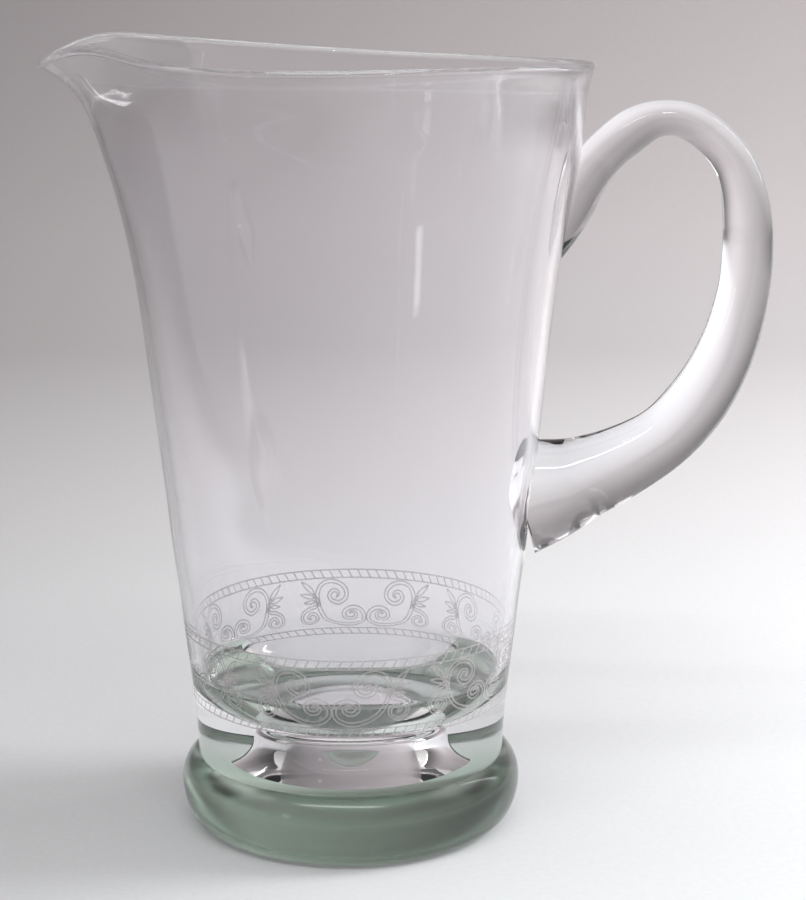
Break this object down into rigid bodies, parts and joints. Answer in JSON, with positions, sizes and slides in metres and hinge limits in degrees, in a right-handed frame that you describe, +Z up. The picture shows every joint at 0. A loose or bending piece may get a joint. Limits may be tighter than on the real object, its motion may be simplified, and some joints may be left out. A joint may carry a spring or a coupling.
{
  "type": "cocktail pitcher",
  "caption": "Hand blown clear glass jug with a flared wall, pulled pouring lip, thick base with an air bell closed in, pale green foot and drawn glass handle.",
  "frame": {"origin": "centre of the flat face under the foot, on the surface that the jug stands on", "axes": "+Z up along the axis of the bowl, lip along -X, handle along +X"},
  "size_m": [0.2176, 0.145, 0.2402],
  "materials": {
    "clear_glass": "fire polished clear soda-lime glass",
    "green_glass": "fire polished pale sea-green glass",
    "handle_glass": "fire polished clear soda-lime glass"
  },
  "bodies": {
    "root": {"bowl": "clear_glass", "foot": "green_glass", "handle": "handle_glass"}
  },
  "joints": []
}
